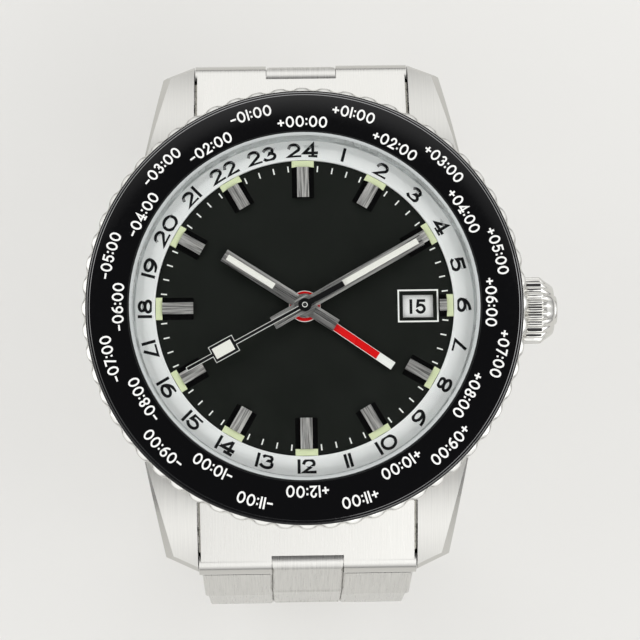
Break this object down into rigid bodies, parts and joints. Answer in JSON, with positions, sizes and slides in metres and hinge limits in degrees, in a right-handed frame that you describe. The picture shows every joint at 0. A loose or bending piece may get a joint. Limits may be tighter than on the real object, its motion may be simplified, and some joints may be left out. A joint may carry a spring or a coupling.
{
  "type": "world time watch",
  "caption": "Automatic wristwatch with a scalloped turning bezel, a 24-hour ring and hand, a date window, a fluted winding knob and a hinged steel link bracelet with a folding clasp.",
  "frame": {"origin": "centre of the case back's outer face, which rests on the wrist", "axes": "+Z out through the crystal, +Y to 12 o'clock, +X to the winding knob at 3 o'clock"},
  "size_m": [0.0434, 0.0528, 0.056],
  "materials": {
    "steel_brushed": "fine brushed steel",
    "steel_polished": "polished steel",
    "black_ceramic": "glossy black",
    "sapphire": "clear, polished",
    "gasket_plastic": "smooth pale grey",
    "white_lacquer": "white lacquer, satin",
    "dial_lacquer": "near-black lacquer, satin",
    "luminous_paint": "matt luminous paint",
    "red_lacquer": "red lacquer, gloss",
    "black_lacquer": "black lacquer, gloss",
    "brass": "brushed brass",
    "spring_steel": "hardened steel",
    "ruby": "red synthetic ruby",
    "heavy_metal": "matt heavy metal",
    "date_white": "white lacquer, matt"
  },
  "bodies": {
    "case": {"case_middle": "steel_brushed", "case_back": "steel_brushed", "end_links": "steel_brushed", "crown_tube": "steel_polished", "hour_markers": "steel_polished", "balance_cock": "steel_polished", "case_gaskets": "gasket_plastic", "crystal": "sapphire", "bezel_spring": "spring_steel", "movement_screws": "spring_steel", "hour_ring": "white_lacquer", "dial": "dial_lacquer", "marker_lume": "luminous_paint", "movement_holder": "brass", "main_plate": "brass", "train_bridge": "brass", "movement_jewels": "ruby"},
    "bezel": {"bezel": "steel_polished", "bezel_insert": "black_ceramic"},
    "setting_lever": {"setting_lever": "spring_steel"},
    "crown": {"crown": "steel_polished", "winding_stem": "steel_polished"},
    "crown_wheel": {"crown_wheel": "spring_steel"},
    "ratchet_wheel": {"ratchet_wheel": "spring_steel"},
    "seconds": {"fourth_wheel": "brass", "seconds_hand": "black_lacquer"},
    "minute": {"cannon_pinion": "steel_polished", "minute_hand": "steel_brushed"},
    "minute_wheel": {"minute_wheel": "brass"},
    "hour": {"hour_wheel": "brass", "hour_hand": "steel_brushed"},
    "gmt": {"gmt_wheel": "brass", "gmt_hand": "red_lacquer"},
    "third_wheel": {"third_wheel": "brass"},
    "intermediate_wheel": {"intermediate_wheel": "brass"},
    "barrel": {"barrel": "brass", "mainspring": "spring_steel"},
    "escape_wheel": {"escape_wheel": "spring_steel"},
    "pallet_fork": {"pallet_fork": "spring_steel"},
    "balance": {"balance_wheel": "brass", "hairspring": "spring_steel"},
    "rotor": {"rotor": "heavy_metal"},
    "date_ring": {"date_ring": "date_white"},
    "link_12_1": {"link_12_1": "steel_brushed"},
    "link_12_2": {"link_12_2": "steel_brushed"},
    "link_12_3": {"link_12_3": "steel_brushed"},
    "link_12_4": {"link_12_4": "steel_brushed"},
    "link_12_5": {"link_12_5": "steel_brushed"},
    "link_12_6": {"link_12_6": "steel_brushed"},
    "link_6_1": {"link_6_1": "steel_brushed"},
    "link_6_2": {"link_6_2": "steel_brushed"},
    "link_6_3": {"link_6_3": "steel_brushed"},
    "link_6_4": {"link_6_4": "steel_brushed"},
    "link_6_5": {"link_6_5": "steel_brushed"},
    "link_6_6": {"link_6_6": "steel_brushed"},
    "clasp_cover": {"clasp_cover": "steel_brushed"},
    "clasp_blade_outer": {"clasp_blade_outer": "steel_brushed"},
    "clasp_blade_inner": {"clasp_blade_inner": "steel_brushed"},
    "clasp_button_left": {"clasp_button_left": "steel_polished"},
    "clasp_button_right": {"clasp_button_right": "steel_polished"}
  },
  "joints": [
    {"name": "bezel_turn", "type": "hinge", "parent": "case", "child": "bezel", "pos_m": [0, 0, 0.0076], "axis": [0, 0, 1], "continuous": true},
    {"name": "crown_pull", "type": "slide", "parent": "case", "child": "setting_lever", "axis": [1, 0, 0], "range_m": [0, 0.0012]},
    {"name": "crown_turn", "type": "hinge", "parent": "setting_lever", "child": "crown", "pos_m": [0.011, 0, 0.0045], "axis": [1, 0, 0], "continuous": true},
    {"name": "crown_wheel_turn", "type": "hinge", "parent": "case", "child": "crown_wheel", "pos_m": [0.00647, 0, 0.003], "axis": [0, 0, 1], "continuous": true},
    {"name": "ratchet_turn", "type": "hinge", "parent": "case", "child": "ratchet_wheel", "pos_m": [0.0038, 0.00658, 0.003], "axis": [0, 0, 1], "continuous": true},
    {"name": "seconds_turn", "type": "hinge", "parent": "case", "child": "seconds", "pos_m": [0, 0, 0.01017], "axis": [0, 0, -1], "continuous": true},
    {"name": "minute_turn", "type": "hinge", "parent": "case", "child": "minute", "pos_m": [0, 0, 0.00981], "axis": [0, 0, -1], "continuous": true},
    {"name": "minute_wheel_turn", "type": "hinge", "parent": "case", "child": "minute_wheel", "pos_m": [0.00148, -0.00257, 0.0072], "axis": [0, 0, -1], "continuous": true},
    {"name": "hour_turn", "type": "hinge", "parent": "case", "child": "hour", "pos_m": [0, 0, 0.00943], "axis": [0, 0, -1], "continuous": true},
    {"name": "gmt_turn", "type": "hinge", "parent": "case", "child": "gmt", "pos_m": [0, 0, 0.0091], "axis": [0, 0, -1], "continuous": true},
    {"name": "third_wheel_turn", "type": "hinge", "parent": "case", "child": "third_wheel", "pos_m": [-0.00383, 0.00103, 0.00494], "axis": [0, 0, -1], "continuous": true},
    {"name": "intermediate_wheel_turn", "type": "hinge", "parent": "case", "child": "intermediate_wheel", "pos_m": [-0.00159, 0.00444, 0.00468], "axis": [0, 0, -1], "continuous": true},
    {"name": "barrel_turn", "type": "hinge", "parent": "case", "child": "barrel", "pos_m": [0.0038, 0.00658, 0.00497], "axis": [0, 0, -1], "continuous": true},
    {"name": "escape_wheel_turn", "type": "hinge", "parent": "case", "child": "escape_wheel", "pos_m": [-0.00068, -0.00384, 0.00442], "axis": [0, 0, -1], "continuous": true},
    {"name": "pallet_fork_rock", "type": "hinge", "parent": "case", "child": "pallet_fork", "pos_m": [-0.00306, -0.00522, 0.006], "axis": [0, 0, 1], "range_deg": [-3, 3]},
    {"name": "balance_swing", "type": "hinge", "parent": "case", "child": "balance", "pos_m": [-0.00625, -0.00638, 0.003], "axis": [0, 0, 1], "range_deg": [-270, 270], "stiffness_Nm_per_rad": 0.000001},
    {"name": "rotor_turn", "type": "hinge", "parent": "case", "child": "rotor", "pos_m": [0, 0, 0.003], "axis": [0, 0, 1], "continuous": true},
    {"name": "date_turn", "type": "hinge", "parent": "case", "child": "date_ring", "pos_m": [0, 0, 0.0072], "axis": [0, 0, 1], "continuous": true},
    {"name": "link_12_1_hinge", "type": "hinge", "parent": "case", "child": "link_12_1", "pos_m": [0, 0.0224, 0.0028], "axis": [-1, 0, 0], "range_deg": [-80, 0]},
    {"name": "link_6_1_hinge", "type": "hinge", "parent": "case", "child": "link_6_1", "pos_m": [0, -0.0224, 0.0028], "axis": [1, 0, 0], "range_deg": [-80, 0]},
    {"name": "link_12_2_hinge", "type": "hinge", "parent": "link_12_1", "child": "link_12_2", "pos_m": [0, 0.02424, -0.00457], "axis": [-1, 0, 0], "range_deg": [-18, 0]},
    {"name": "link_6_2_hinge", "type": "hinge", "parent": "link_6_1", "child": "link_6_2", "pos_m": [0, -0.02424, -0.00457], "axis": [1, 0, 0], "range_deg": [-18, 0]},
    {"name": "link_12_3_hinge", "type": "hinge", "parent": "link_12_2", "child": "link_12_3", "pos_m": [0, 0.02503, -0.01213], "axis": [-1, 0, 0], "range_deg": [-17, 0]},
    {"name": "link_6_3_hinge", "type": "hinge", "parent": "link_6_2", "child": "link_6_3", "pos_m": [0, -0.02503, -0.01213], "axis": [1, 0, 0], "range_deg": [-17, 0]},
    {"name": "link_12_4_hinge", "type": "hinge", "parent": "link_12_3", "child": "link_12_4", "pos_m": [0, 0.0249, -0.01973], "axis": [-1, 0, 0], "range_deg": [-17, 0]},
    {"name": "link_6_4_hinge", "type": "hinge", "parent": "link_6_3", "child": "link_6_4", "pos_m": [0, -0.0249, -0.01973], "axis": [1, 0, 0], "range_deg": [-17, 0]},
    {"name": "link_12_5_hinge", "type": "hinge", "parent": "link_12_4", "child": "link_12_5", "pos_m": [0, 0.02384, -0.02726], "axis": [-1, 0, 0], "range_deg": [-19, 0]},
    {"name": "link_6_5_hinge", "type": "hinge", "parent": "link_6_4", "child": "link_6_5", "pos_m": [0, -0.02384, -0.02726], "axis": [1, 0, 0], "range_deg": [-19, 0]},
    {"name": "link_12_6_hinge", "type": "hinge", "parent": "link_12_5", "child": "link_12_6", "pos_m": [0, 0.02162, -0.03453], "axis": [-1, 0, 0], "range_deg": [-28, 0]},
    {"name": "link_6_6_hinge", "type": "hinge", "parent": "link_6_5", "child": "link_6_6", "pos_m": [0, -0.02162, -0.03453], "axis": [1, 0, 0], "range_deg": [-28, 0]},
    {"name": "clasp_cover_hinge", "type": "hinge", "parent": "link_12_6", "child": "clasp_cover", "pos_m": [0, 0.01726, -0.04075], "axis": [-1, 0, 0], "range_deg": [-65, 0]},
    {"name": "clasp_outer_hinge", "type": "hinge", "parent": "clasp_cover", "child": "clasp_blade_outer", "pos_m": [0, -0.01401, -0.0426], "axis": [-1, 0, 0], "range_deg": [-100, 0]},
    {"name": "clasp_inner_hinge", "type": "hinge", "parent": "clasp_blade_outer", "child": "clasp_blade_inner", "pos_m": [0, 0.01276, -0.04198], "axis": [1, 0, 0], "range_deg": [-100, 0]},
    {"name": "clasp_button_left_press", "type": "slide", "parent": "clasp_cover", "child": "clasp_button_left", "axis": [1, 0, 0], "range_m": [0, 0.0006], "stiffness_N_per_m": 800},
    {"name": "clasp_button_right_press", "type": "slide", "parent": "clasp_cover", "child": "clasp_button_right", "axis": [-1, 0, 0], "range_m": [0, 0.0006], "stiffness_N_per_m": 800}
  ],
  "couplings": [
    {"joint": "crown_wheel_turn", "follows": "crown_turn", "ratio": 0.46154},
    {"joint": "ratchet_turn", "follows": "crown_turn", "ratio": -0.26667},
    {"joint": "minute_turn", "follows": "seconds_turn", "ratio": 0.016667},
    {"joint": "minute_wheel_turn", "follows": "seconds_turn", "ratio": -0.0055556},
    {"joint": "hour_turn", "follows": "seconds_turn", "ratio": 0.0013889},
    {"joint": "gmt_turn", "follows": "seconds_turn", "ratio": 0.00069444},
    {"joint": "third_wheel_turn", "follows": "seconds_turn", "ratio": -0.125},
    {"joint": "intermediate_wheel_turn", "follows": "seconds_turn", "ratio": 0.016667},
    {"joint": "barrel_turn", "follows": "seconds_turn", "ratio": -0.002381},
    {"joint": "escape_wheel_turn", "follows": "seconds_turn", "ratio": -12}
  ]
}
